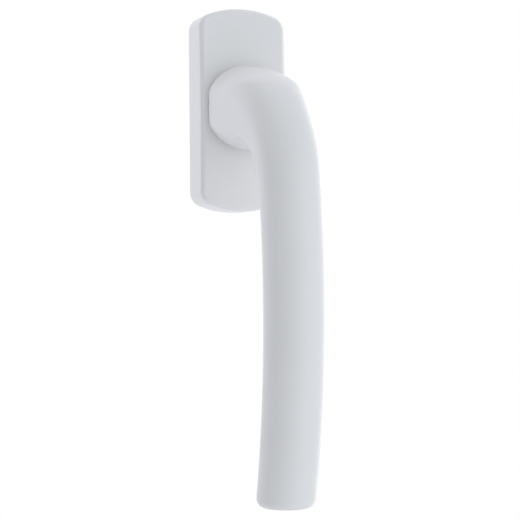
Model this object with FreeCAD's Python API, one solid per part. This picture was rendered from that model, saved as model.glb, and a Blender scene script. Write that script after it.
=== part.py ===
import FreeCAD, Part
import math
import os

from FreeCAD import Vector

# Tilt-and-turn window handle: a rose that is screwed to the sash, and a bowed grip that turns in it.
# Millimetres. +Y points into the sash, -Y into the room, +Z up and +X to the right as seen from the room.
# The origin is on the spindle's axis, in the plane where the rose meets the sash.
# A "depth" is a distance from the sash face into the room, so it lies at y = -depth.

# Rose: straight sides, arched ends and a crowned front
ROSE_WIDTH = 29.3
ROSE_HEIGHT = 66.0
END_ARCH = 3.5
CORNER_RADIUS = 4.9
BODY_DEPTH = 10.0
WALL = 2.0
WEB = 2.8
RIB = 1.2

# Cover plate on the front of the rose
COVER_GAP = 0.1
COVER_CENTRE_DEPTH = 12.25
CROWN = 0.95
BEVEL = 1.05
BEVEL_SOFTENING = 0.35

# Fixing: two M5 countersunk screws, through lugs that enter the sash
SCREW_SPACING = 43.0
SCREW_RADIUS = 2.5
SCREW_SHANK_RADIUS = 2.2
SCREW_LENGTH = 40.0
SCREW_THREAD_LENGTH = 27.5
SCREW_HEAD_RADIUS = 4.6
SCREW_HEAD_RIM = 0.3
SCREW_HEAD_DEPTH = 9.7
SCREW_HOLE_RADIUS = 2.7
PILLAR_RADIUS = 5.7
LUG_RADIUS = 5.0
LUG_LENGTH = 2.0

# Square spindle
SPINDLE_SIDE = 7.0
SPINDLE_REACH = 28.0
SPINDLE_INNER_DEPTH = 20.0
SLIP = 0.03

# Grip: neck on the rose, bend, and bowed tube
NECK_DEPTH = 14.0
NECK_RADIUS = 13.7
NECK_FLAT = 12.9
NECK_RISE = 0.28
NECK_DROP = 1.0
NECK_ROUNDING = 0.5
BEND_RADIUS = 28.4
BOW_RADIUS = 240.0
BOW_VERTEX_Z = -62.3
BOW_PROJECTION = 53.3
GRIP_LENGTH = 125.2
TUBE_TOP_RADIUS = 9.44
TUBE_END_RADIUS = 9.08
END_TRIM = 6.0
END_ROUNDING = 3.1

# How the neck's flats, shoulder and underside run out into the round tube.
# A "run" is a length along the grip's centre line, from the rose. A crease is the edge between a flat and
# the rounded side above or below it, placed at a share of the section's half height.
FLAT_RUN = 60.0
NECK_RUN = 41.0
SHOULDER_RUN = 24.0
BODY_RUN = 34.0
BODY_MARGIN = 5.0
UPPER_CREASE_START = 0.36
UPPER_CREASE_END = 0.86
LOWER_CREASE_START = 0.37
LOWER_CREASE_PEAK = 0.75
LOWER_CREASE_RISE = 15.0
LOWER_CREASE_RUN = 56.0
SECTION_SHARPNESS = 60
SECTION_POINTS = 144

# Hub of the grip, and what it turns in
HUB_RADIUS = 8.0
HUB_STEP_DEPTH = 7.2
SPIGOT_RADIUS = 7.0
SPIGOT_FLAT = 5.5
SPIGOT_END_DEPTH = 1.6
BUSH_RADIUS = 10.0
BUSH_BORE_RADIUS = 8.06
BUSH_STEP_RADIUS = 11.6
BUSH_LIP_RADIUS = 12.4
BUSH_LIP_DEPTH = 12.5
BUSH_FRONT_DEPTH = 13.6
COVER_FIT = 0.08
PIN_RADIUS = 1.5
PIN_LENGTH = 15.4
PIN_DEPTH = 10.6

# Detent: a square cam between two leaf springs
CAM_HALF_SIDE = 9.0
CAM_CORNER_RADIUS = 10.5
CAM_BACK_DEPTH = 3.4
CAM_FRONT_DEPTH = 6.4
LEAF_THICKNESS = 0.6
LEAF_HALF_LENGTH = 12.2
LEAF_BOW = 1.2
LEAF_CLEARANCE = 0.06
CLIP_DEPTH = 2.3
CLIP_THICKNESS = 1.0
CLIP_GROOVE_RADIUS = 6.4

# Steel plate that closes the detent chamber at the back
PLATE_HALF_WIDTH = 12.55
PLATE_HALF_HEIGHT = 14.8
PLATE_THICKNESS = 1.0
PLATE_BACK_DEPTH = 0.3
PLATE_HOLE_RADIUS = 6.2
PLATE_SCREW_X = 9.4
PLATE_SCREW_Z = 12.9
PLATE_SCREW_RADIUS = 1.1
PLATE_SCREW_LENGTH = 5.5
CHAMBER_HALF_HEIGHT = 15.0


def rod(radius, y_start, y_end, x=0.0, z=0.0):
    """Round bar along Y."""
    return Part.makeCylinder(radius, y_end - y_start, Vector(x, y_start, z), Vector(0, 1, 0))


def cone(radius_start, radius_end, y_start, y_end, x=0.0, z=0.0):
    """Tapered round bar along Y."""
    return Part.makeCone(radius_start, radius_end, y_end - y_start, Vector(x, y_start, z), Vector(0, 1, 0))


def block(x_range, y_range, z_range):
    """Rectangular block from three (low, high) ranges."""
    low = Vector(x_range[0], y_range[0], z_range[0])
    return Part.makeBox(x_range[1] - x_range[0], y_range[1] - y_range[0], z_range[1] - z_range[0], low)


def square_bar(half_side, y_start, y_end):
    """Square bar along Y, centred on the spindle's axis."""
    side = (-half_side, half_side)
    return block(side, (y_start, y_end), side)


def fuse_all(shapes):
    """One solid from several that overlap."""
    result = shapes[0]
    for shape in shapes[1:]:
        result = result.fuse(shape)
    return result.removeSplitter()


def along_y(shape):
    """The shape's straight edges that run along Y."""
    edges = []
    for edge in shape.Edges:
        start = edge.Vertexes[0].Point
        end = edge.Vertexes[-1].Point
        if isinstance(edge.Curve, Part.Line) and abs(start.x - end.x) + abs(start.z - end.z) < 1e-6:
            edges.append(edge)
    return edges


def rose_prism(inset, y_start, y_end):
    """Prism with the rose's outline, set in all round by inset."""
    half_width = ROSE_WIDTH / 2 - inset
    half_height = ROSE_HEIGHT / 2 - inset
    full_arch_radius = (ROSE_WIDTH ** 2 / 4 + END_ARCH ** 2) / (2 * END_ARCH)
    arch_radius = full_arch_radius - inset
    side_z = half_height - arch_radius + math.sqrt(arch_radius ** 2 - half_width ** 2)
    corner_signs = ((-1, -1), (1, -1), (1, 1), (-1, 1))
    corners = [Vector(sx * half_width, y_start, sz * side_z) for sx, sz in corner_signs]
    bottom = Part.Arc(corners[0], Vector(0, y_start, -half_height), corners[1]).toShape()
    right = Part.LineSegment(corners[1], corners[2]).toShape()
    top = Part.Arc(corners[2], Vector(0, y_start, half_height), corners[3]).toShape()
    left = Part.LineSegment(corners[3], corners[0]).toShape()
    face = Part.Face(Part.Wire([bottom, right, top, left]))
    prism = face.extrude(Vector(0, y_end - y_start, 0))
    return prism.makeFillet(CORNER_RADIUS - inset, along_y(prism))


def both_ends(make):
    """What make(z) gives at the upper and at the lower screw."""
    return [make(SCREW_SPACING / 2), make(-SCREW_SPACING / 2)]


def four_corners(make):
    """What make(x, z) gives at the back plate's four screws."""
    return [make(sx * PLATE_SCREW_X, sz * PLATE_SCREW_Z) for sx in (-1, 1) for sz in (-1, 1)]


def screw_pillar(z):
    """Pillar round a fixing screw, with the lug that enters the sash."""
    pillar = rod(PILLAR_RADIUS, -BODY_DEPTH, 0, z=z)
    lug = rod(LUG_RADIUS, -1.0, LUG_LENGTH, z=z)
    return pillar.fuse(lug)


def screw_passage(z):
    """Space that a fixing screw takes in its pillar: a hole and a countersink."""
    margin = SCREW_HOLE_RADIUS - SCREW_RADIUS
    hole = rod(SCREW_HOLE_RADIUS, -BODY_DEPTH - 1, LUG_LENGTH + 1, z=z)
    seat_y = -SCREW_HEAD_DEPTH + SCREW_HEAD_RIM
    seat_length = SCREW_HEAD_RADIUS - SCREW_RADIUS
    seat = cone(SCREW_HEAD_RADIUS + margin, SCREW_HOLE_RADIUS, seat_y, seat_y + seat_length, z=z)
    mouth = rod(SCREW_HEAD_RADIUS + margin, -BODY_DEPTH - 1, seat_y, z=z)
    return fuse_all([hole, seat, mouth])


def plate_boss(x, z):
    """Boss that a back plate screw bites in."""
    return rod(2.0, -BODY_DEPTH + 1, -PLATE_BACK_DEPTH - PLATE_THICKNESS, x, z)


def stiffening_ribs():
    """Ribs behind the front web: cross walls, and one rib each way from each pillar."""
    inner_x = ROSE_WIDTH / 2 - WALL / 2
    top_z = ROSE_HEIGHT / 2 - WALL / 2
    depth = (-BODY_DEPTH + 1, 0)
    half_rib = RIB / 2
    ribs = []
    for side in (-1, 1):
        wall_z = sorted((side * CHAMBER_HALF_HEIGHT, side * (CHAMBER_HALF_HEIGHT + RIB)))
        pillar_z = side * SCREW_SPACING / 2
        upright_z = sorted((pillar_z, side * top_z))
        ribs.append(block((-inner_x, inner_x), depth, wall_z))
        ribs.append(block((-inner_x, inner_x), depth, (pillar_z - half_rib, pillar_z + half_rib)))
        ribs.append(block((-half_rib, half_rib), depth, upright_z))
    return ribs


def leaf_seats():
    """Shelves on the side walls that the ends of the leaf springs rest against."""
    leaf_end_z = CAM_HALF_SIDE + LEAF_CLEARANCE + LEAF_BOW + LEAF_THICKNESS + 0.05
    inner_x = ROSE_WIDTH / 2 - WALL
    seats = []
    for sx in (-1, 1):
        for sz in (-1, 1):
            x_range = sorted((sx * (inner_x - 2.0), sx * (inner_x + 0.5)))
            z_range = sorted((sz * leaf_end_z, sz * (leaf_end_z + 1.6)))
            seats.append(block(x_range, (-BODY_DEPTH + 1, -2.4), z_range))
    return seats


def rose_body():
    """Moulded base: walls, front web, pillars with lugs, ribs and bosses, open at the back."""
    shell = rose_prism(0, -BODY_DEPTH, 0)
    hollow = rose_prism(WALL, -BODY_DEPTH + WEB, 1)
    shell = shell.cut(hollow)
    inside = both_ends(screw_pillar) + stiffening_ribs() + leaf_seats() + four_corners(plate_boss)
    body = fuse_all([shell] + inside)
    body = body.cut(rod(BUSH_RADIUS + SLIP, -BODY_DEPTH - 1, 0))
    for passage in both_ends(screw_passage):
        body = body.cut(passage)
    pilot_end = -PLATE_BACK_DEPTH - PLATE_SCREW_LENGTH - 0.5
    for pilot in four_corners(lambda x, z: rod(PLATE_SCREW_RADIUS + SLIP, pilot_end, 0, x, z)):
        body = body.cut(pilot)
    return body


def rose_cover():
    """Plate over the screws: flat back, crowned front with a bevel all round, and a hole for the bush."""
    plate = rose_prism(0, -COVER_CENTRE_DEPTH - 1, -BODY_DEPTH - COVER_GAP)
    crown_radius = ((ROSE_HEIGHT / 2) ** 2 + CROWN ** 2) / (2 * CROWN)
    crown_start = Vector(-ROSE_WIDTH, crown_radius - COVER_CENTRE_DEPTH, 0)
    crown = Part.makeCylinder(crown_radius, 2 * ROSE_WIDTH, crown_start, Vector(1, 0, 0))
    plate = plate.common(crown)
    front_face = min(plate.Faces, key=lambda face: face.CenterOfMass.y)
    plate = plate.makeChamfer(BEVEL, front_face.Edges)
    front_face = min(plate.Faces, key=lambda face: face.CenterOfMass.y)
    plate = plate.makeFillet(BEVEL_SOFTENING, front_face.Edges)
    hole = rod(BUSH_STEP_RADIUS + COVER_FIT, -COVER_CENTRE_DEPTH - 1, 0)
    return plate.cut(hole)


def bearing_bush():
    """Bush that the hub turns in; its lip keeps the cover plate on the rose."""
    sleeve = rod(BUSH_RADIUS, -BODY_DEPTH - 1, -HUB_STEP_DEPTH)
    step = rod(BUSH_STEP_RADIUS, -BUSH_LIP_DEPTH - 0.5, -BODY_DEPTH)
    lip = rod(BUSH_LIP_RADIUS, -BUSH_FRONT_DEPTH, -BUSH_LIP_DEPTH)
    bush = fuse_all([sleeve, step, lip])
    return bush.cut(rod(BUSH_BORE_RADIUS, -BUSH_FRONT_DEPTH - 1, 0))


def ease(share):
    """Smooth fall from 1 to 0 as share goes from 0 to 1."""
    return (1 + math.cos(math.pi * min(share, 1.0))) / 2


def grip_line():
    """Centre line of the grip in the YZ plane, as (y, z, turn, run) stations.

    It leaves the rose straight, turns down in the bend, and follows the bow, tangent throughout.
    """
    bow_centre_y = BOW_RADIUS - BOW_PROJECTION
    bend_centre_z = -NECK_DROP - BEND_RADIUS
    centre_rise = bend_centre_z - BOW_VERTEX_Z
    centre_step = BOW_RADIUS - BEND_RADIUS
    bend_centre_y = bow_centre_y - math.sqrt(centre_step ** 2 - centre_rise ** 2)
    bend_angle = math.pi / 2 - math.asin(centre_rise / centre_step)
    neck_length = -NECK_DEPTH - bend_centre_y
    bend_length = BEND_RADIUS * bend_angle
    bow_length = GRIP_LENGTH + BOW_VERTEX_Z + centre_rise * BOW_RADIUS / centre_step + END_TRIM

    stations = []
    neck_steps = 4
    for i in range(neck_steps):
        share = i / neck_steps
        z = -NECK_DROP + (NECK_RISE + NECK_DROP) * ease(share)
        stations.append((-NECK_DEPTH - neck_length * share, z, 0.0, neck_length * share))
    bend_steps = 24
    for i in range(bend_steps):
        turn = bend_angle * i / bend_steps
        y = bend_centre_y - BEND_RADIUS * math.sin(turn)
        z = bend_centre_z + BEND_RADIUS * math.cos(turn)
        stations.append((y, z, turn, neck_length + BEND_RADIUS * turn))
    bow_steps = 24
    for i in range(bow_steps + 1):
        run = bow_length * i / bow_steps
        turn = bend_angle + run / BOW_RADIUS
        y = bow_centre_y - BOW_RADIUS * math.sin(turn)
        z = BOW_VERTEX_Z + BOW_RADIUS * math.cos(turn)
        stations.append((y, z, turn, neck_length + bend_length + run))
    return stations


def upper_crease(run):
    """Where the crease above the flats lies, as a share of the half height: it climbs over the top."""
    share = min(run / SHOULDER_RUN, 1.0)
    return UPPER_CREASE_START + (UPPER_CREASE_END - UPPER_CREASE_START) * share ** 2


def lower_crease(run):
    """Where the crease below the flats lies, as a share of the half height: it drops, then fades."""
    rise = math.sin(math.pi / 2 * min(run / LOWER_CREASE_RISE, 1.0))
    share = LOWER_CREASE_START + (LOWER_CREASE_PEAK - LOWER_CREASE_START) * rise
    past_peak = max(run - LOWER_CREASE_RISE, 0.0)
    return share * ease(past_peak / (LOWER_CREASE_RUN - LOWER_CREASE_RISE))


def half_outline(half_width, height, crease, body_height, body_power):
    """One half of the grip's section: an ellipse that comes down to a crease, blended into a fuller body.

    The ellipse is height high and meets the sides at the given share of that height. The body is
    half_width wide and body_height high. Returns the radius as a function of the direction's two parts.
    """
    sharp = SECTION_SHARPNESS
    reach = half_width / math.sqrt(1 - crease ** 2)
    weight = 1 - (height / body_height) ** sharp
    body_across = (half_width ** -sharp - weight * reach ** -sharp) ** (1 / sharp)

    def radius(across, outwards):
        ellipse = math.hypot(across / reach, outwards / height)
        body = (across * body_across) ** body_power + (outwards / body_height) ** body_power
        return (weight * ellipse ** sharp + body ** (sharp / body_power)) ** (-1 / sharp)

    return radius


def grip_section(y, z, turn, upper, lower):
    """Points round the grip, from the outlines of its upper and lower half."""
    points = []
    for i in range(SECTION_POINTS):
        angle = 2 * math.pi * i / SECTION_POINTS
        across, outwards = math.cos(angle), math.sin(angle)
        outline = upper if outwards > 0 else lower
        radius = outline(abs(across), abs(outwards))
        offset = radius * outwards
        points.append(Vector(radius * across, y - offset * math.sin(turn), z + offset * math.cos(turn)))
    return points


def smooth_tube(sections, runs):
    """Solid whose side is one cubic surface through rings of points, at the given lengths along it."""
    count = len(sections[0])
    shares = [i / count for i in range(count + 1)]
    rings = []
    for points in sections:
        ring = Part.BSplineCurve()
        ring.interpolate(Points=points, PeriodicFlag=True, Parameters=shares)
        rings.append(ring)
    strings = []
    for i in range(rings[0].NbPoles):
        string = Part.BSplineCurve()
        string.interpolate(Points=[ring.getPole(i + 1) for ring in rings], Parameters=runs)
        strings.append(string)
    around = rings[0]
    along = strings[0]
    surface = Part.BSplineSurface()
    surface.buildFromPolesMultsKnots(
        [string.getPoles() for string in strings],
        around.getMultiplicities(), along.getMultiplicities(),
        around.getKnots(), along.getKnots(),
        True, False, around.Degree, along.Degree,
    )
    ends = [Part.Face(Part.Wire([ring.toShape()])) for ring in (rings[0], rings[-1])]
    shell = Part.makeShell([surface.toShape()] + ends)
    shell.sewShape()
    solid = Part.makeSolid(shell)
    if solid.Volume < 0:
        solid.reverse()
    return solid


def grip_outlines(run, length):
    """Upper and lower half of the grip's section at a run, from the neck's disc to the round tube."""
    tube = TUBE_TOP_RADIUS + (TUBE_END_RADIUS - TUBE_TOP_RADIUS) * run / length
    share = min(run / NECK_RUN, 1.0)
    half_width = tube + (NECK_FLAT - tube) * max(0.0, 1 - run / FLAT_RUN) ** 2
    top = tube + (NECK_RADIUS - tube) * ease(share)
    bottom = tube + (NECK_RADIUS - tube) * (1 - share) ** 3
    body_height = top + BODY_MARGIN * ease(run / SHOULDER_RUN)
    body_power = 2 + 2 * ease(run / BODY_RUN)
    upper = half_outline(half_width, top, upper_crease(run), body_height, body_power)
    lower = half_outline(half_width, bottom, lower_crease(run), math.inf, 2)
    return upper, lower


def grip_outside():
    """Neck, bend and bowed tube as one smooth solid, cut level at the free end."""
    stations = grip_line()
    runs = [station[3] for station in stations]
    sections = []
    for y, z, turn, run in stations:
        upper, lower = grip_outlines(run, runs[-1])
        sections.append(grip_section(y, z, turn, upper, lower))
    outside = smooth_tube(sections, runs)
    below = block((-40, 40), (-100, 20), (-GRIP_LENGTH - 40, -GRIP_LENGTH))
    outside = outside.cut(below)
    end_face = min(outside.Faces, key=lambda face: face.CenterOfMass.z)
    outside = outside.makeFillet(END_ROUNDING, end_face.Edges)
    base_face = max(outside.Faces, key=lambda face: face.CenterOfMass.y)
    return outside.makeFillet(NECK_ROUNDING, base_face.Edges)


def spigot(radius, flat, y_start, y_end):
    """Round bar along Y with two flats, one on each side."""
    bar = rod(radius, y_start, y_end)
    return bar.common(block((-flat, flat), (y_start, y_end), (-radius, radius)))


def grip():
    """Cast grip with its hub: the bearing, the flatted spigot, the clip groove and the spindle's socket."""
    hub = rod(HUB_RADIUS, -NECK_DEPTH - 1, -HUB_STEP_DEPTH)
    tail = spigot(SPIGOT_RADIUS, SPIGOT_FLAT, -HUB_STEP_DEPTH - 1, -SPIGOT_END_DEPTH)
    solid = fuse_all([grip_outside(), hub, tail])
    socket = square_bar(SPINDLE_SIDE / 2 + SLIP, -SPINDLE_INNER_DEPTH - 0.2, 0)
    groove_y = (-CLIP_DEPTH - CLIP_THICKNESS - SLIP, -CLIP_DEPTH + SLIP)
    groove = rod(SPIGOT_RADIUS + 1, *groove_y).cut(rod(CLIP_GROOVE_RADIUS, *groove_y))
    half_pin = HUB_RADIUS + 1
    pin_start = Vector(0, -PIN_DEPTH, -half_pin)
    pin_hole = Part.makeCylinder(PIN_RADIUS + SLIP, 2 * half_pin, pin_start, Vector(0, 0, 1))
    return solid.cut(socket).cut(groove).cut(pin_hole)


def spindle():
    """Square bar that drives the window's gear, bevelled at its free end."""
    half = SPINDLE_SIDE / 2
    bar = square_bar(half, -SPINDLE_INNER_DEPTH, SPINDLE_REACH)
    bar = bar.makeChamfer(0.4, along_y(bar))
    tip = cone(half * 1.42, half * 1.14, SPINDLE_REACH - 1.0, SPINDLE_REACH)
    tip = tip.fuse(rod(half * 1.42, -SPINDLE_INNER_DEPTH, SPINDLE_REACH - 1.0))
    pin_start = Vector(0, -PIN_DEPTH, -half - 1)
    pin_hole = Part.makeCylinder(PIN_RADIUS + SLIP, 2 * half + 2, pin_start, Vector(0, 0, 1))
    return bar.common(tip).cut(pin_hole)


def spindle_pin():
    """Slotted spring pin across the hub and the spindle."""
    start = Vector(0, -PIN_DEPTH, -PIN_LENGTH / 2)
    pin = Part.makeCylinder(PIN_RADIUS, PIN_LENGTH, start, Vector(0, 0, 1))
    pin = pin.makeChamfer(0.25, [edge for edge in pin.Edges if isinstance(edge.Curve, Part.Circle)])
    pin = pin.cut(Part.makeCylinder(PIN_RADIUS - 0.5, PIN_LENGTH, start, Vector(0, 0, 1)))
    slot_y = (-PIN_DEPTH - 0.3, -PIN_DEPTH + 0.3)
    return pin.cut(block((0, PIN_RADIUS + 1), slot_y, (-PIN_LENGTH, PIN_LENGTH)))


def detent_cam():
    """Square plate with rounded corners, driven by the spigot's flats."""
    depth = (-CAM_FRONT_DEPTH, -CAM_BACK_DEPTH)
    cam = square_bar(CAM_HALF_SIDE, *depth).common(rod(CAM_CORNER_RADIUS, *depth))
    hole = spigot(SPIGOT_RADIUS + SLIP, SPIGOT_FLAT + SLIP, depth[0] - 1, depth[1] + 1)
    return cam.cut(hole)


def detent_spring(side):
    """Bowed leaf spring that lies across the cam, above it (side 1) or below it (side -1)."""
    near = CAM_HALF_SIDE + LEAF_CLEARANCE
    y_front = -CAM_FRONT_DEPTH + 0.1
    width = CAM_FRONT_DEPTH - CAM_BACK_DEPTH - 0.2
    radius = (LEAF_HALF_LENGTH ** 2 + LEAF_BOW ** 2) / (2 * LEAF_BOW)
    centre_z = near + radius
    half_angle = math.asin(LEAF_HALF_LENGTH / radius)

    def arc_point(arc_radius, angle):
        x = arc_radius * math.sin(angle)
        return Vector(x, y_front, side * (centre_z - arc_radius * math.cos(angle)))

    inner_radius = radius - LEAF_THICKNESS
    outer = [arc_point(radius, angle) for angle in (-half_angle, 0, half_angle)]
    inner = [arc_point(inner_radius, angle) for angle in (half_angle, 0, -half_angle)]
    edges = [Part.Arc(*outer).toShape(), Part.LineSegment(outer[2], inner[0]).toShape()]
    edges += [Part.Arc(*inner).toShape(), Part.LineSegment(inner[2], outer[0]).toShape()]
    return Part.Face(Part.Wire(edges)).extrude(Vector(0, width, 0))


def spring_washer():
    """Coned spring washer between the cam and the bush, which takes up the end play."""
    thickness = 0.35
    inner_radius = SPIGOT_RADIUS + 0.2
    outer_radius = BUSH_RADIUS - 0.3
    back = -CAM_FRONT_DEPTH - 0.04
    front = -HUB_STEP_DEPTH + 0.06
    points = [
        Vector(inner_radius, back, 0),
        Vector(inner_radius, back - thickness, 0),
        Vector(outer_radius, front, 0),
        Vector(outer_radius, front + thickness, 0),
    ]
    profile = Part.Face(Part.makePolygon(points + points[:1]))
    return profile.revolve(Vector(0, 0, 0), Vector(0, 1, 0), 360)


def circlip():
    """Retaining ring in the spigot's groove, open at the bottom, with an eye at each end."""
    y_range = (-CLIP_DEPTH - CLIP_THICKNESS, -CLIP_DEPTH)
    inner_radius = CLIP_GROOVE_RADIUS + SLIP
    outer_radius = inner_radius + 2.2
    eye_angle = math.radians(24)
    eye_distance = inner_radius + 1.9
    gap_half_width = math.sin(eye_angle) * eye_distance
    gap = block((-gap_half_width, gap_half_width), y_range, (-outer_radius - 3, 0))
    ring = rod(outer_radius, *y_range).cut(gap)
    for side in (-1, 1):
        x = side * math.sin(eye_angle) * eye_distance
        z = -math.cos(eye_angle) * eye_distance
        ring = ring.fuse(rod(1.7, *y_range, x=x, z=z))
    for side in (-1, 1):
        x = side * math.sin(eye_angle) * eye_distance
        z = -math.cos(eye_angle) * eye_distance
        ring = ring.cut(rod(0.8, *y_range, x=x, z=z))
    return ring.cut(rod(inner_radius, *y_range)).removeSplitter()


def back_plate():
    """Steel plate with rounded corners, a hole for the spindle and four countersunk holes."""
    y_range = (-PLATE_BACK_DEPTH - PLATE_THICKNESS, -PLATE_BACK_DEPTH)
    x_range = (-PLATE_HALF_WIDTH, PLATE_HALF_WIDTH)
    plate = block(x_range, y_range, (-PLATE_HALF_HEIGHT, PLATE_HALF_HEIGHT))
    plate = plate.makeFillet(1.0, along_y(plate))
    plate = plate.cut(rod(PLATE_HOLE_RADIUS, y_range[0] - 1, 1))
    for screw in four_corners(lambda x, z: plate_screw_blank(x, z, SLIP)):
        plate = plate.cut(screw)
    return plate


def plate_screw_blank(x, z, growth=0.0):
    """Countersunk self-tapping screw of the back plate, without its slot."""
    head_y = -PLATE_BACK_DEPTH
    radius = PLATE_SCREW_RADIUS + growth
    head_radius = 2.0 + growth
    shank = rod(radius, head_y - PLATE_SCREW_LENGTH, head_y, x, z)
    head = cone(radius, head_radius, head_y - 0.9, head_y, x, z)
    return shank.fuse(head)


def plate_screw(x, z):
    """Back plate screw with a cross recess."""
    head_y = -PLATE_BACK_DEPTH
    recess_y = (head_y - 0.7, head_y + 1)
    across = block((x - 1.1, x + 1.1), recess_y, (z - 0.25, z + 0.25))
    upright = block((x - 0.25, x + 0.25), recess_y, (z - 1.1, z + 1.1))
    return plate_screw_blank(x, z).cut(across).cut(upright)


def fixing_screw(z):
    """M5 countersunk screw with a cross recess, a reduced shank and a thread drawn at its crest."""
    head_y = -SCREW_HEAD_DEPTH
    tip_y = head_y + SCREW_LENGTH
    thread_y = tip_y - SCREW_THREAD_LENGTH
    shank = rod(SCREW_SHANK_RADIUS, head_y, thread_y, z=z)
    thread = rod(SCREW_RADIUS, thread_y, tip_y - 1.0, z=z)
    point = cone(SCREW_RADIUS, SCREW_RADIUS - 0.9, tip_y - 1.0, tip_y, z=z)
    seat_y = head_y + SCREW_HEAD_RIM
    rim = rod(SCREW_HEAD_RADIUS, head_y, seat_y, z=z)
    head_height = SCREW_HEAD_RADIUS - SCREW_SHANK_RADIUS
    head = cone(SCREW_HEAD_RADIUS, SCREW_SHANK_RADIUS, seat_y, seat_y + head_height, z=z)
    screw = fuse_all([shank, thread, point, rim, head])
    recess_y = (head_y - 1, head_y + 2.0)
    across = block((-2.3, 2.3), recess_y, (z - 0.5, z + 0.5))
    upright = block((-0.5, 0.5), recess_y, (z - 2.3, z + 2.3))
    return screw.cut(across).cut(upright)


def export(name, shape):
    """Write one node's STEP file."""
    shape.exportStep(os.path.join("parts", name + ".step"))


def main():
    os.makedirs("parts", exist_ok=True)
    export("rose_body", rose_body())
    export("rose_cover", rose_cover())
    export("bearing_bush", bearing_bush())
    export("grip", grip())
    export("spindle", spindle())
    export("spindle_pin", spindle_pin())
    export("detent_cam", detent_cam())
    export("detent_spring_upper", detent_spring(1))
    export("detent_spring_lower", detent_spring(-1))
    export("spring_washer", spring_washer())
    export("circlip", circlip())
    export("back_plate", back_plate())
    export("back_plate_screws", Part.makeCompound(four_corners(plate_screw)))
    export("fixing_screws", Part.makeCompound(both_ends(fixing_screw)))


main()
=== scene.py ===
import math

import bmesh
import bpy
from mathutils import Matrix, Vector


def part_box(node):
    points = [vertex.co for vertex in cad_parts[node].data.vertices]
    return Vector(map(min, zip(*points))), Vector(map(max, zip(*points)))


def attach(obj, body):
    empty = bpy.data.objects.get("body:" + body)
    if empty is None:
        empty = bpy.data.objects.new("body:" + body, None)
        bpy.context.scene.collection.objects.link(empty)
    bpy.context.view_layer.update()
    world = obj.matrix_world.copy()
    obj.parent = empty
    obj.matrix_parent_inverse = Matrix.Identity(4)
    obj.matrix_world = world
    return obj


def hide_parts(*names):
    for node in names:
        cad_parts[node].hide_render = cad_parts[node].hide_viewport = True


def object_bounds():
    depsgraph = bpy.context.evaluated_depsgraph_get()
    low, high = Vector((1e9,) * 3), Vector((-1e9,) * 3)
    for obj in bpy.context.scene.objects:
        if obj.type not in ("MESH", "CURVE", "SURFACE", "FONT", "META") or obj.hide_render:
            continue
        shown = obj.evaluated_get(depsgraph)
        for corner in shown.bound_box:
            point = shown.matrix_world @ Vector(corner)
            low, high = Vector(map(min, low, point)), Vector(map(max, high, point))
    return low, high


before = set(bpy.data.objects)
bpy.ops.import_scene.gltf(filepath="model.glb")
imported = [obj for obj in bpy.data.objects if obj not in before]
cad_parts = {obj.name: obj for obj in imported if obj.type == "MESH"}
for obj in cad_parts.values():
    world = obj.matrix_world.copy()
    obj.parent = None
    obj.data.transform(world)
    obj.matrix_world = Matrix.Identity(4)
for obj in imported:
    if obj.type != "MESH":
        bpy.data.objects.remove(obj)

cad_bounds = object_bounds()

# Camera: to the left of the rose's normal, just below the horizon. Angles in degrees, lengths in metres,
# focal length and sensor in millimetres.
VIEW_AZIMUTH = -21.0
VIEW_ELEVATION = -1.34
VIEW_ROLL = -0.53
VIEW_DISTANCE = 0.55
VIEW_AIM = Vector((0.0097, 0.0, -0.04859))
NEAREST_SEEN = 0.01
FOCAL_LENGTH = 114.23
SENSOR_WIDTH = 36.0

# Studio: an even ambient light and soft glows, each as (azimuth, elevation, strength) in degrees.
# Azimuth 0 is in front of the handle, 90 to its right and 180 behind it.
AMBIENT = 0.50
GLOW_SHARPNESS = 6.0
GLOWS = (
    (35, 0, 0.73),
    (120, 0, 0.62),
    (0, 90, 0.50),
    (10, -65, 0.55),
)
LIGHT_COLOUR = (0.970, 0.999, 1.043)
BACKDROP_COLOUR = (1.0, 1.0, 1.0)
BACKDROP_STRENGTH = 1.0

# White cards close behind the handle, each as (x, z, width, height, brightness) in metres
CARDS = (
    (0.0, -0.03, 0.30, 0.40, 0.42),
    (-0.05, 0.02, 0.08, 0.10, 1.30),
)
CARD_GAP = 0.005
CARD_COLOUR = (0.97, 0.935, 1.03)

FLOOR_DROP = 0.17
FLOOR_RADIUS = 1.15
FLOOR_SIDES = 96
FLOOR_GLOW = 0.2
FLOOR_DARK = (0.92, 0.90, 0.865)
FLOOR_LIGHT = (0.96, 0.94, 0.905)

# Fixing screws, M5, in metres
THREAD_CREST = 0.0025
THREAD_ROOT = 0.00204
THREAD_PITCH = 0.0008
THREAD_LENGTH = 0.0275
THREAD_FLAT = 0.15
THREAD_OVERLAP = 1e-5
SHANK_RADIUS = 0.0022
HEAD_RADIUS = 0.0046
POINT_LENGTH = 0.001
POINT_TAPER = 0.0009
THREAD_ROWS_PER_TURN = 10
THREAD_SIDES = 40
WELD_DISTANCE = 1e-6
SHARP_ANGLE = 28.0

# Colours, in linear light
WHITE = (0.874, 0.873, 0.871)
NYLON = (0.866, 0.865, 0.862)
DRAWN_ZINC = (0.56, 0.56, 0.57)
DRAWN_ZINC_PATCH = (0.57, 0.56, 0.545)
SPRING_STEEL = (0.36, 0.37, 0.39)
SPRING_STEEL_PATCH = (0.30, 0.33, 0.38)
SCREW_ZINC = (0.64, 0.64, 0.62)
SCREW_ZINC_PATCH = (0.62, 0.62, 0.62)
SINTERED_STEEL = (0.45, 0.45, 0.46)
ZINC_SHEET = (0.62, 0.63, 0.65)

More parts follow.
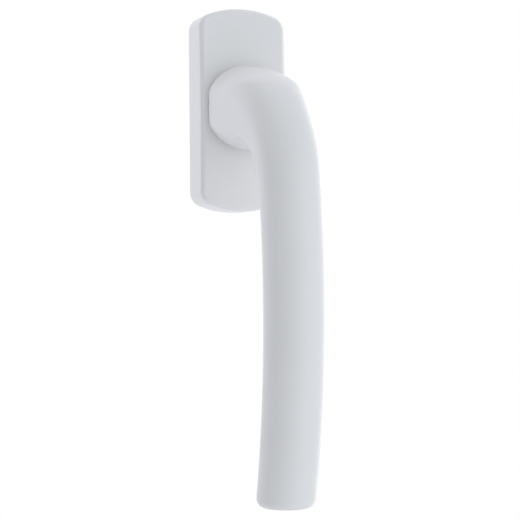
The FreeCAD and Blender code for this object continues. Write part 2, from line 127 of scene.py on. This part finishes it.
# Sizes of the surface patterns, in features per metre
MOTTLE_SCALE = 55.0
SPECKLE_SCALE = 2600.0
FLOOR_SCALE = 90.0
STREAK_SCALE = 900.0
CLOUD_SCALE = 180.0
CRYSTAL_SCALE = 260.0
ROLLING_SCALE = 1500.0
PORE_SCALE = 2200.0
SINTER_SCALE = 350.0

# Heights of the surface reliefs and widths of the edges painted lighter as a highlight (on white also
# polished, less rough), in metres
PEEL_HEIGHT = 0.00004
SPECKLE_HEIGHT = 0.000008
METAL_RELIEF = 0.00003
PORE_DEPTH = 0.00004
WHITE_EDGE = 0.0005
METAL_EDGE = 0.00025

# How much a pattern is stretched along each axis: a small number draws it out along that axis
ALONG_X = (0.08, 1.0, 1.0)
ALONG_Y = (1.0, 0.04, 1.0)
ALONG_Z = (1.0, 1.0, 0.05)
EVEN = (1.0, 1.0, 1.0)


def direction(azimuth, elevation):
    """Unit vector towards (azimuth, elevation) in degrees."""
    a = math.radians(azimuth)
    e = math.radians(elevation)
    return Vector((math.sin(a) * math.cos(e), -math.cos(a) * math.cos(e), math.sin(e)))


def make_camera():
    """Camera at the viewing angle, aimed at the middle of the view."""
    back = direction(VIEW_AZIMUTH, VIEW_ELEVATION)
    right = Vector((0, 0, 1)).cross(back).normalized()
    up = back.cross(right)
    roll = math.radians(VIEW_ROLL)
    rolled_right = math.cos(roll) * right + math.sin(roll) * up
    rolled_up = math.cos(roll) * up - math.sin(roll) * right
    data = bpy.data.cameras.new("camera")
    data.lens = FOCAL_LENGTH
    data.sensor_width = SENSOR_WIDTH
    data.clip_start = NEAREST_SEEN
    camera = bpy.data.objects.new("camera", data)
    camera.matrix_world = Matrix((rolled_right, rolled_up, back)).transposed().to_4x4()
    camera.location = VIEW_AIM + back * VIEW_DISTANCE
    bpy.context.scene.collection.objects.link(camera)
    bpy.context.scene.camera = camera


class Nodes:
    """Short calls for adding nodes to one node tree."""

    def __init__(self, tree):
        self.tree = tree

    def add(self, kind, values=None, **settings):
        """New node; values go on its input sockets, settings on the node."""
        node = self.tree.nodes.new(kind)
        for name, value in settings.items():
            setattr(node, name, value)
        for socket, value in (values or {}).items():
            self.put(node, socket, value)
        return node

    def put(self, node, socket, value):
        """Puts a constant on a socket, or links another node's output to it."""
        if isinstance(value, bpy.types.NodeSocket):
            self.tree.links.new(value, node.inputs[socket])
        else:
            node.inputs[socket].default_value = value

    def math(self, operation, a, b=0.0):
        """Result of a math node."""
        return self.add("ShaderNodeMath", {0: a, 1: b}, operation=operation).outputs[0]

    def mix(self, factor, a, b):
        """Colour between a and b."""
        node = self.add("ShaderNodeMix", {"Factor": factor}, data_type="RGBA")
        for socket, value in ((node.inputs[6], a), (node.inputs[7], b)):
            if isinstance(value, bpy.types.NodeSocket):
                self.tree.links.new(value, socket)
            else:
                socket.default_value = (*value, 1.0)
        return node.outputs[2]

    def span(self, value, low, high, from_low=0.0, from_high=1.0):
        """Value moved from its own range to low..high, clamped."""
        values = {0: value, 1: from_low, 2: from_high, 3: low, 4: high}
        return self.add("ShaderNodeMapRange", values).outputs[0]

    def place(self, scale=EVEN):
        """Object coordinates, stretched by scale."""
        coordinates = self.add("ShaderNodeTexCoord").outputs["Object"]
        return self.add("ShaderNodeMapping", {"Vector": coordinates, "Scale": scale}).outputs[0]

    def noise(self, where, scale, detail=3.0, roughness=0.5):
        """Noise value from 0 to 1; scale is in features per metre."""
        values = {"Vector": where, "Scale": scale, "Detail": detail, "Roughness": roughness}
        return self.add("ShaderNodeTexNoise", values).outputs[0]

    def bump(self, height, strength, distance, normal=None):
        """Normal of a surface that height raises by up to distance."""
        values = {"Height": height, "Strength": strength, "Distance": distance}
        if normal is not None:
            values["Normal"] = normal
        return self.add("ShaderNodeBump", values).outputs[0]

    def edges(self, radius):
        """1 along outer and inner edges, falling to 0 about radius away."""
        rounded = self.add("ShaderNodeBevel", {"Radius": radius}, samples=4).outputs[0]
        flat = self.add("ShaderNodeNewGeometry").outputs["Normal"]
        dot = self.add("ShaderNodeVectorMath", {0: rounded, 1: flat}, operation="DOT_PRODUCT")
        return self.span(dot.outputs["Value"], 1.0, 0.0, 0.90, 0.998)


def new_material(name):
    """Material with a Principled shader, as (material, nodes, shader)."""
    material = bpy.data.materials.new(name)
    material.use_nodes = True
    return material, Nodes(material.node_tree), material.node_tree.nodes["Principled BSDF"]


def shaded(colour, factor):
    """The colour made darker or lighter by a factor."""
    return tuple(min(1.0, part * factor) for part in colour)


def smooth_white(name, colour, rough, peel, peel_scale, edge_highlight):
    """White enamel or plastic: faint mottling, uneven gloss, fine orange peel, edges polished by use and
    painted lighter as a highlight.
    """
    material, nodes, shader = new_material(name)
    where = nodes.place()
    broad = nodes.noise(where, MOTTLE_SCALE, 4.0)
    fine = nodes.noise(where, SPECKLE_SCALE, 2.0)
    waves = nodes.noise(where, peel_scale, 2.0, 0.4)
    edge = nodes.edges(WHITE_EDGE)
    mottled = nodes.mix(nodes.span(broad, 0.0, 1.0, 0.3, 0.7), shaded(colour, 0.985), colour)
    speckled = nodes.mix(nodes.span(fine, 0.0, 0.35, 0.55, 0.8), mottled, shaded(colour, 0.95))
    # Painted highlight: the colour is made lighter along edges, where light would catch their rounding
    edge_highlit = nodes.mix(nodes.math("MULTIPLY", edge, edge_highlight), speckled, shaded(colour, 1.05))
    nodes.put(shader, "Base Color", edge_highlit)
    gloss = nodes.span(broad, rough - 0.03, rough + 0.04, 0.3, 0.7)
    polished = nodes.math("SUBTRACT", gloss, nodes.math("MULTIPLY", edge, 0.06))
    nodes.put(shader, "Roughness", polished)
    surface = nodes.bump(waves, peel, PEEL_HEIGHT)
    nodes.put(shader, "Normal", nodes.bump(fine, peel * 0.5, SPECKLE_HEIGHT, surface))
    shader.inputs["IOR"].default_value = 1.5
    return material


def metal(name, colour, patch, rough, streaks=EVEN, relief=0.25, edge_highlight=0.3):
    """Bare or plated steel: streaked gloss, patches of a second colour, edges painted brighter as a
    highlight.
    """
    material, nodes, shader = new_material(name)
    shader.inputs["Metallic"].default_value = 1.0
    lines = nodes.noise(nodes.place(streaks), STREAK_SCALE, 5.0, 0.65)
    clouds = nodes.noise(nodes.place(), CLOUD_SCALE, 3.0)
    edge = nodes.edges(METAL_EDGE)
    patched = nodes.mix(nodes.span(clouds, 0.0, 1.0, 0.35, 0.65), colour, patch)
    lined = nodes.mix(nodes.span(lines, 0.0, 0.5, 0.35, 0.75), patched, shaded(colour, 0.7))
    # Painted highlight: the colour is made brighter along edges
    edge_highlit = nodes.mix(nodes.math("MULTIPLY", edge, edge_highlight), lined, shaded(colour, 1.3))
    nodes.put(shader, "Base Color", edge_highlit)
    nodes.put(shader, "Roughness", nodes.span(lines, rough - 0.08, rough + 0.12, 0.25, 0.75))
    nodes.put(shader, "Normal", nodes.bump(lines, relief, METAL_RELIEF))
    return material


def galvanised_sheet(name, colour):
    """Zinc coated sheet: crystals of slightly different tone and gloss, over faint rolling lines."""
    material, nodes, shader = new_material(name)
    shader.inputs["Metallic"].default_value = 1.0
    values = {"Vector": nodes.place(), "Scale": CRYSTAL_SCALE}
    crystals = nodes.add("ShaderNodeTexVoronoi", values, feature="F1")
    tone = nodes.add("ShaderNodeSeparateColor", {0: crystals.outputs["Color"]}).outputs[0]
    rolling = nodes.noise(nodes.place(ALONG_Z), ROLLING_SCALE, 4.0, 0.6)
    crystal_tone = nodes.mix(tone, shaded(colour, 0.86), shaded(colour, 1.08))
    lined = nodes.mix(nodes.span(rolling, 0.0, 0.3), crystal_tone, shaded(colour, 0.75))
    nodes.put(shader, "Base Color", lined)
    gloss = nodes.math("ADD", nodes.span(tone, 0.28, 0.42), nodes.span(rolling, -0.04, 0.06))
    nodes.put(shader, "Roughness", gloss)
    nodes.put(shader, "Normal", nodes.bump(rolling, 0.2, METAL_RELIEF))
    return material


def sintered_steel(name, colour):
    """Pressed and sintered steel: dull, with fine dark pores."""
    material, nodes, shader = new_material(name)
    shader.inputs["Metallic"].default_value = 1.0
    where = nodes.place()
    values = {"Vector": where, "Scale": PORE_SCALE}
    pores = nodes.add("ShaderNodeTexVoronoi", values).outputs["Distance"]
    clouds = nodes.noise(where, SINTER_SCALE)
    open_pore = nodes.span(pores, 1.0, 0.0, 0.12, 0.3)
    body = nodes.mix(clouds, shaded(colour, 0.85), shaded(colour, 1.1))
    nodes.put(shader, "Base Color", nodes.mix(open_pore, body, shaded(colour, 0.3)))
    nodes.put(shader, "Roughness", nodes.span(clouds, 0.5, 0.68))
    nodes.put(shader, "Normal", nodes.bump(pores, 0.4, PORE_DEPTH))
    return material


def paint(node_name, material):
    """Gives a CAD node its material, on every slot."""
    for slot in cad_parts[node_name].material_slots:
        slot.material = material


def thread_radius(y, angle, start, tip):
    """Radius of the M5 thread at a place along the screw and round it."""
    phase = (y / THREAD_PITCH - angle / (2 * math.pi)) % 1.0
    height = (abs(phase - 0.5) * 2 - THREAD_FLAT) / (1 - 2 * THREAD_FLAT)
    rise = min(1.0, max(0.0, height))
    run_in = min(1.0, (y - start) / THREAD_PITCH)
    crest = SHANK_RADIUS + (THREAD_CREST - SHANK_RADIUS) * run_in
    root = SHANK_RADIUS + (THREAD_ROOT - SHANK_RADIUS) * run_in
    past_point = max(0.0, y - (tip - POINT_LENGTH)) / POINT_LENGTH
    limit = THREAD_CREST - POINT_TAPER * past_point
    return min(root + (crest - root) * rise, limit)


def add_thread(mesh, centre_z, start, tip):
    """Adds one closed threaded bar along Y to a bmesh."""
    rows = round((tip - start) / THREAD_PITCH * THREAD_ROWS_PER_TURN)
    rings = []
    for i in range(rows + 1):
        y = start + (tip - start) * i / rows
        ring = []
        for j in range(THREAD_SIDES):
            angle = 2 * math.pi * j / THREAD_SIDES
            radius = thread_radius(y, angle, start, tip)
            point = (radius * math.cos(angle), y, centre_z + radius * math.sin(angle))
            ring.append(mesh.verts.new(point))
        rings.append(ring)
    for near, far in zip(rings, rings[1:]):
        for j in range(THREAD_SIDES):
            k = (j + 1) % THREAD_SIDES
            mesh.faces.new((near[j], near[k], far[k], far[j]))
    mesh.faces.new(rings[0])
    mesh.faces.new(rings[-1][::-1])


def make_fixing_screws(material):
    """The two fixing screws with a cut thread, in place of the CAD's plain cylinder at the crest."""
    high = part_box("fixing_screws")[1]
    tip = high[1]
    start = tip - THREAD_LENGTH - THREAD_OVERLAP
    screw_z = high[2] - HEAD_RADIUS
    mesh = bmesh.new()
    mesh.from_mesh(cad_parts["fixing_screws"].data)
    bmesh.ops.remove_doubles(mesh, verts=mesh.verts, dist=WELD_DISTANCE)
    plain = [face for face in mesh.faces if min(vert.co.y for vert in face.verts) > start]
    bmesh.ops.delete(mesh, geom=plain, context="FACES")
    open_edges = [edge for edge in mesh.edges if edge.is_boundary]
    bmesh.ops.holes_fill(mesh, edges=open_edges, sides=0)
    for centre_z in (screw_z, -screw_z):
        add_thread(mesh, centre_z, start, tip)
    bmesh.ops.recalc_face_normals(mesh, faces=mesh.faces)
    data = bpy.data.meshes.new("fixing_screws_threaded")
    mesh.to_mesh(data)
    mesh.free()
    data.shade_smooth()
    data.set_sharp_from_angle(angle=math.radians(SHARP_ANGLE))
    data.materials.append(material)
    screws = bpy.data.objects.new("fixing_screws_threaded", data)
    bpy.context.scene.collection.objects.link(screws)
    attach(screws, "rose")
    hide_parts("fixing_screws")


def make_floor():
    """Round pale floor well below the handle. It neither shades the handle nor lights it."""
    mesh = bmesh.new()
    bmesh.ops.create_circle(mesh, cap_ends=True, radius=FLOOR_RADIUS, segments=FLOOR_SIDES)
    data = bpy.data.meshes.new("floor")
    mesh.to_mesh(data)
    mesh.free()
    material, nodes, shader = new_material("floor_paint")
    grain = nodes.noise(nodes.place(), FLOOR_SCALE)
    nodes.put(shader, "Base Color", nodes.mix(grain, FLOOR_DARK, FLOOR_LIGHT))
    shader.inputs["Emission Color"].default_value = (1.0, 1.0, 1.0, 1.0)
    shader.inputs["Emission Strength"].default_value = FLOOR_GLOW
    nodes.put(shader, "Roughness", nodes.span(grain, 0.55, 0.7))
    data.materials.append(material)
    floor = bpy.data.objects.new("floor", data)
    floor.location.z = cad_bounds[0][2] - FLOOR_DROP
    floor.visible_diffuse = False
    floor.visible_glossy = False
    floor.visible_shadow = False
    bpy.context.scene.collection.objects.link(floor)


def make_studio_light():
    """World light: ambient and soft glows on the object, and a plain white backdrop for the camera."""
    world = bpy.data.worlds.new("studio")
    bpy.context.scene.world = world
    world.use_nodes = True
    nodes = Nodes(world.node_tree)
    towards = nodes.add("ShaderNodeTexCoord").outputs["Generated"]
    total = AMBIENT
    for azimuth, elevation, strength in GLOWS:
        values = {0: towards, 1: tuple(direction(azimuth, elevation))}
        dot = nodes.add("ShaderNodeVectorMath", values, operation="DOT_PRODUCT").outputs["Value"]
        depth = nodes.math("MULTIPLY", nodes.math("SUBTRACT", dot, 1.0), GLOW_SHARPNESS)
        glow = nodes.math("MULTIPLY", nodes.math("EXPONENT", depth), strength)
        total = nodes.math("ADD", glow, total)
    seen = nodes.add("ShaderNodeLightPath").outputs["Is Camera Ray"]
    light = nodes.add("ShaderNodeMix", {0: seen, 2: total, 3: BACKDROP_STRENGTH}).outputs[0]
    background = world.node_tree.nodes["Background"]
    nodes.put(background, "Color", nodes.mix(seen, LIGHT_COLOUR, BACKDROP_COLOUR))
    nodes.put(background, "Strength", light)
    bpy.context.scene.view_settings.view_transform = "Standard"


def make_cards():
    """Soft light from white cards just behind the handle, facing the room. They aren't seen themselves."""
    for i, (x, z, width, height, brightness) in enumerate(CARDS):
        data = bpy.data.lights.new("card_%d" % i, "AREA")
        data.shape = "RECTANGLE"
        data.size = width
        data.size_y = height
        data.color = CARD_COLOUR
        data.energy = brightness * math.pi * width * height
        card = bpy.data.objects.new("card_%d" % i, data)
        card.location = (x, cad_bounds[1][1] + CARD_GAP, z)
        card.rotation_euler.x = math.radians(-90)
        card.visible_camera = False
        bpy.context.scene.collection.objects.link(card)


make_camera()
make_studio_light()
make_cards()
make_floor()

powder_coat = smooth_white("powder_coat", WHITE, rough=0.32, peel=0.12, peel_scale=900.0, edge_highlight=0.35)
cover_enamel = smooth_white("cover_enamel", WHITE, rough=0.33, peel=0.10, peel_scale=1100.0, edge_highlight=0.35)
moulded_nylon = smooth_white("moulded_nylon", NYLON, rough=0.40, peel=0.20, peel_scale=3200.0, edge_highlight=0.2)
turned_acetal = smooth_white("turned_acetal", NYLON, rough=0.42, peel=0.20, peel_scale=2400.0, edge_highlight=0.2)
drawn_zinc = metal("drawn_zinc", DRAWN_ZINC, DRAWN_ZINC_PATCH, rough=0.34, streaks=ALONG_Y)
spring = metal("spring_steel", SPRING_STEEL, SPRING_STEEL_PATCH, rough=0.32, streaks=ALONG_X, edge_highlight=0.5)
screw_zinc = metal("screw_zinc", SCREW_ZINC, SCREW_ZINC_PATCH, rough=0.27, relief=0.1)

paint("grip", powder_coat)
paint("rose_cover", cover_enamel)
paint("rose_body", moulded_nylon)
paint("bearing_bush", turned_acetal)
paint("spindle", drawn_zinc)
for node_name in ("spindle_pin", "detent_spring_upper", "detent_spring_lower", "spring_washer", "circlip"):
    paint(node_name, spring)
paint("detent_cam", sintered_steel("sintered_cam", SINTERED_STEEL))
paint("back_plate", galvanised_sheet("galvanised_sheet", ZINC_SHEET))
paint("back_plate_screws", screw_zinc)
make_fixing_screws(screw_zinc)
